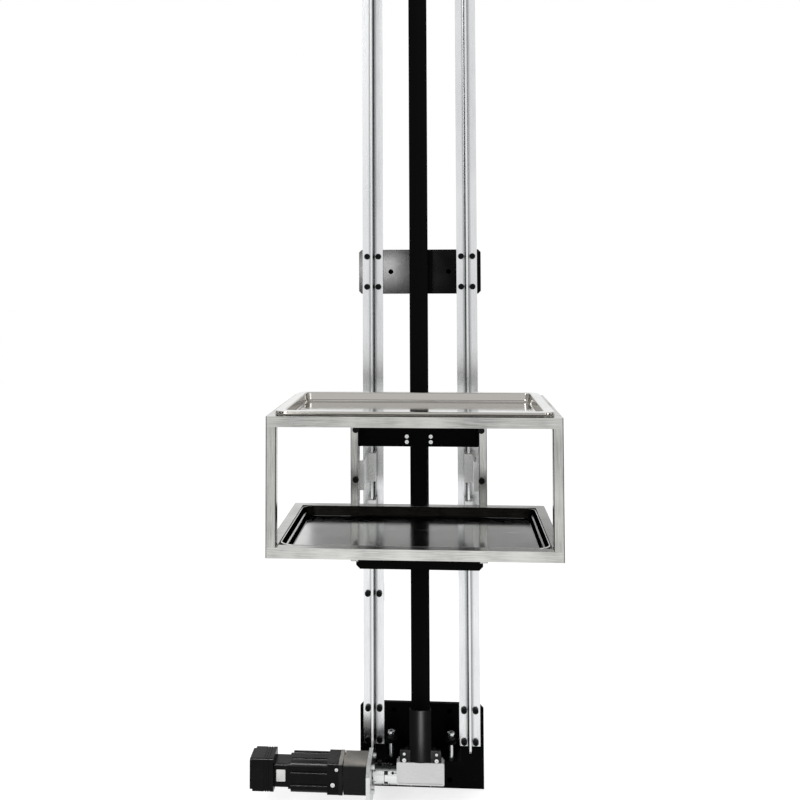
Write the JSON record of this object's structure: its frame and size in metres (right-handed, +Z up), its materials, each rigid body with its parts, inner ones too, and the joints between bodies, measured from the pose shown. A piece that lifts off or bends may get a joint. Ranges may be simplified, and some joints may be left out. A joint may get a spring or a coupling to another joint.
{
  "type": "dumbwaiter lift",
  "caption": "Open belt-driven dumbwaiter: wall-fixed twin guide rails, geared motor and toothed belt, and a two-tier stainless car with lift-out trays.",
  "frame": {"origin": "centre of the base plate's four wall anchor holes, in the plane of the wall", "axes": "+X along the wall, to the right as seen from the room; +Y into the wall; +Z up along the guide rails"},
  "size_m": [0.605, 0.5079, 2.4065],
  "materials": {
    "black_paint": "black powder coat, satin",
    "gloss_black": "black enamel, gloss",
    "polished_rail": "machined and polished",
    "stainless": "polished stainless sheet",
    "stainless_tube": "brushed stainless tube",
    "plain_plate": "bright zinc-plated plate",
    "zinc": "zinc plated",
    "bearing_steel": "ground",
    "aluminium": "machined",
    "motor_black": "black stove enamel, semi-gloss",
    "black_oxide": "black oxide",
    "belt_rubber": "matte",
    "spider_rubber": "satin",
    "liner_nylon": "natural nylon"
  },
  "bodies": {
    "mast": {"base_plate": "black_paint", "wall_bracket": "gloss_black", "head_plate": "black_paint", "rail_left": "polished_rail", "rail_right": "polished_rail", "rail_pad": "black_paint", "rail_bolts": "black_oxide", "drive_bracket": "black_paint", "tension_screws": "zinc", "tension_nuts": "black_oxide", "motor_plate": "plain_plate", "pulley_cover": "stainless", "belt_guard": "gloss_black", "cover_screws": "zinc", "bearings": "bearing_steel", "gearbox": "motor_black", "motor_barrel": "motor_black", "motor_neck": "motor_black", "encoder_cover": "motor_black", "motor_connector": "zinc", "motor_screws": "zinc", "belt": "belt_rubber", "idler_bracket": "black_paint", "idler_axle": "zinc"},
    "drive_line": {"output_shaft": "bearing_steel", "drive_shaft": "bearing_steel", "drive_pulley": "aluminium", "coupling_hub_motor": "aluminium", "coupling_hub_shaft": "aluminium", "coupling_spider": "spider_rubber", "coupling_screws": "black_oxide"},
    "idler": {"idler_pulley": "aluminium", "idler_bearings": "bearing_steel"},
    "car": {"upper_crossbar": "black_paint", "lower_crossbar": "black_paint", "centre_post": "black_paint", "clamp_blocks": "black_oxide", "clamp_plates": "zinc", "clamp_screws": "zinc", "upright_left": "stainless_tube", "upright_right": "stainless_tube", "upright_bolts": "black_oxide", "shoe_brackets": "plain_plate", "shoe_housings": "plain_plate", "shoe_liners": "liner_nylon", "shoe_screws": "black_oxide", "top_frame": "stainless_tube", "bottom_frame": "stainless_tube", "front_posts": "stainless_tube", "tray_ledges": "stainless_tube"},
    "upper_tray": {"top_tray": "stainless"},
    "lower_tray": {"bottom_tray": "stainless"}
  },
  "joints": [
    {"name": "car_slide", "type": "slide", "parent": "mast", "child": "car", "axis": [0, 0, 1], "range_m": [-0.26, 1.45]},
    {"name": "drive_spin", "type": "hinge", "parent": "mast", "child": "drive_line", "pos_m": [0, -0.093, -0.02], "axis": [1, 0, 0], "continuous": true},
    {"name": "idler_spin", "type": "hinge", "parent": "mast", "child": "idler", "pos_m": [0, -0.093, 2.2415], "axis": [1, 0, 0], "continuous": true},
    {"name": "upper_tray_lift", "type": "slide", "parent": "car", "child": "upper_tray", "axis": [0, 0, 1], "range_m": [0, 0.15]},
    {"name": "lower_tray_lift", "type": "slide", "parent": "car", "child": "lower_tray", "axis": [0, 0, 1], "range_m": [0, 0.12]}
  ],
  "couplings": [
    {"joint": "drive_spin", "follows": "car_slide", "rad_per_m": -52.36},
    {"joint": "idler_spin", "follows": "car_slide", "rad_per_m": -52.36}
  ]
}
